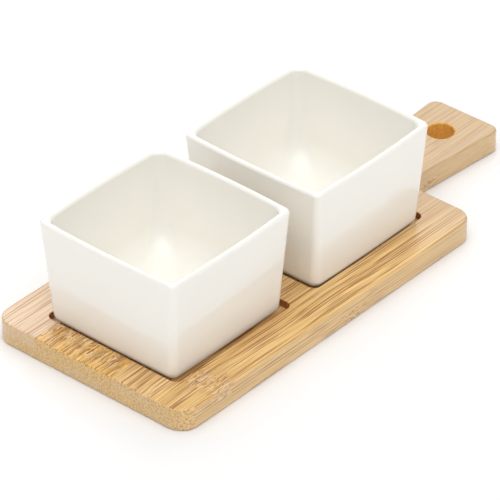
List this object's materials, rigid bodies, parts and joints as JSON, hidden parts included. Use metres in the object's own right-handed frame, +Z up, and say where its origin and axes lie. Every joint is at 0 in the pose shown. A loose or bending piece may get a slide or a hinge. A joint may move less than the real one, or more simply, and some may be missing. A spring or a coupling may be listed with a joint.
{
  "type": "chip and dip server",
  "caption": "Laminated bamboo paddle board with square pockets that hold square tapered porcelain dip bowls, and a hanging hole in its flared handle.",
  "frame": {"origin": "bottom centre of the whole object, on the plane it rests on", "axes": "+X along the board towards the handle, +Y across the board away from the front edge, +Z up"},
  "size_m": [0.283, 0.12, 0.067],
  "materials": {
    "bamboo": "oiled, fine straight grain",
    "porcelain": "gloss glaze, warm white"
  },
  "bodies": {
    "board": {"top_stave_1": "bamboo", "top_stave_2": "bamboo", "top_stave_3": "bamboo", "top_stave_4": "bamboo", "top_stave_5": "bamboo", "bottom_stave_1": "bamboo", "bottom_stave_2": "bamboo", "bottom_stave_3": "bamboo", "bottom_stave_4": "bamboo", "bottom_stave_5": "bamboo"},
    "front_bowl": {"bowl_front": "porcelain"},
    "rear_bowl": {"bowl_rear": "porcelain"}
  },
  "joints": [
    {"name": "front_bowl_lift", "type": "slide", "parent": "board", "child": "front_bowl", "axis": [0, 0, 1], "range_m": [0, 0.07]},
    {"name": "rear_bowl_lift", "type": "slide", "parent": "board", "child": "rear_bowl", "axis": [0, 0, 1], "range_m": [0, 0.07]}
  ]
}
